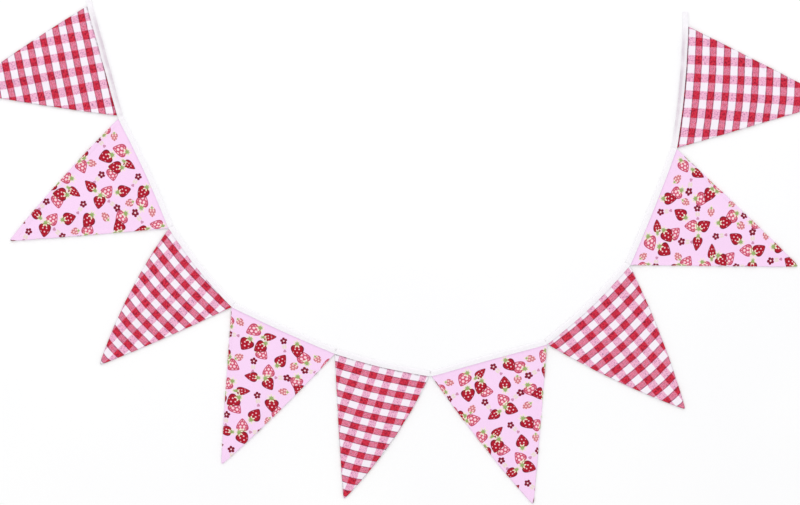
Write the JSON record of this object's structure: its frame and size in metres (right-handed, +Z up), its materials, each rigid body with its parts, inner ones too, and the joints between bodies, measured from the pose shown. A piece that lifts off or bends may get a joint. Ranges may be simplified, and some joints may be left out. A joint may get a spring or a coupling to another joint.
{
  "type": "fabric bunting",
  "caption": "Pennant bunting of lined cotton triangles, gingham and berry print by turns, sewn into a narrow folded cotton tape and laid out flat in a U.",
  "frame": {"origin": "on the surface that it lies on, below the middle of the whole bunting's box", "axes": "+Z up from the surface, +X from the end of the tape at the left to the end at the right, +Y towards the open side of the U"},
  "size_m": [1.1458, 0.6768, 0.0058],
  "materials": {
    "tape_cotton": "matt white cotton tape, folded and stitched",
    "gingham_cotton": "matt red and white woven check, about 9.5 mm checks",
    "print_cotton": "matt pale lilac-pink cotton with a small printed berry and flower repeat"
  },
  "bodies": {
    "root": {"tape": "tape_cotton", "pennant_1": "gingham_cotton", "pennant_2": "print_cotton", "pennant_3": "gingham_cotton", "pennant_4": "print_cotton", "pennant_5": "gingham_cotton", "pennant_6": "print_cotton", "pennant_7": "gingham_cotton", "pennant_8": "print_cotton", "pennant_9": "gingham_cotton"}
  },
  "joints": []
}
